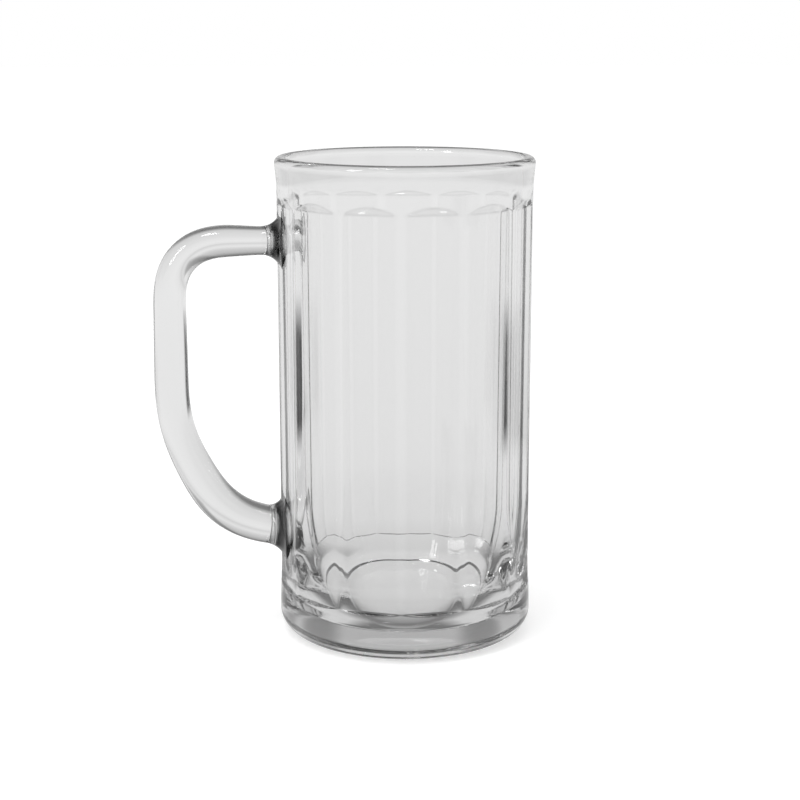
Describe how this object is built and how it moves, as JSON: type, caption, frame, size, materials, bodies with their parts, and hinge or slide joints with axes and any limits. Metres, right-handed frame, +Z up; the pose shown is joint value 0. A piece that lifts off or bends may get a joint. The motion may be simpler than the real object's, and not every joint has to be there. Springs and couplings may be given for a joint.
{
  "type": "beer mug",
  "caption": "Clear pressed-glass beer mug: straight round body with flat arched panels, rounded lip, thick foot, and a loop handle fused to its side.",
  "frame": {"origin": "middle of the foot's flat underside, on the axis of the mug's round body", "axes": "+Z up along the mug's axis, -X from the axis out through the handle, and Y across the handle's plane"},
  "size_m": [0.118, 0.08, 0.15],
  "materials": {
    "body_glass": "clear pressed glass, fire polished",
    "handle_glass": "clear pressed glass, fire polished"
  },
  "bodies": {
    "root": {"mug_body": "body_glass", "handle": "handle_glass"}
  },
  "joints": []
}
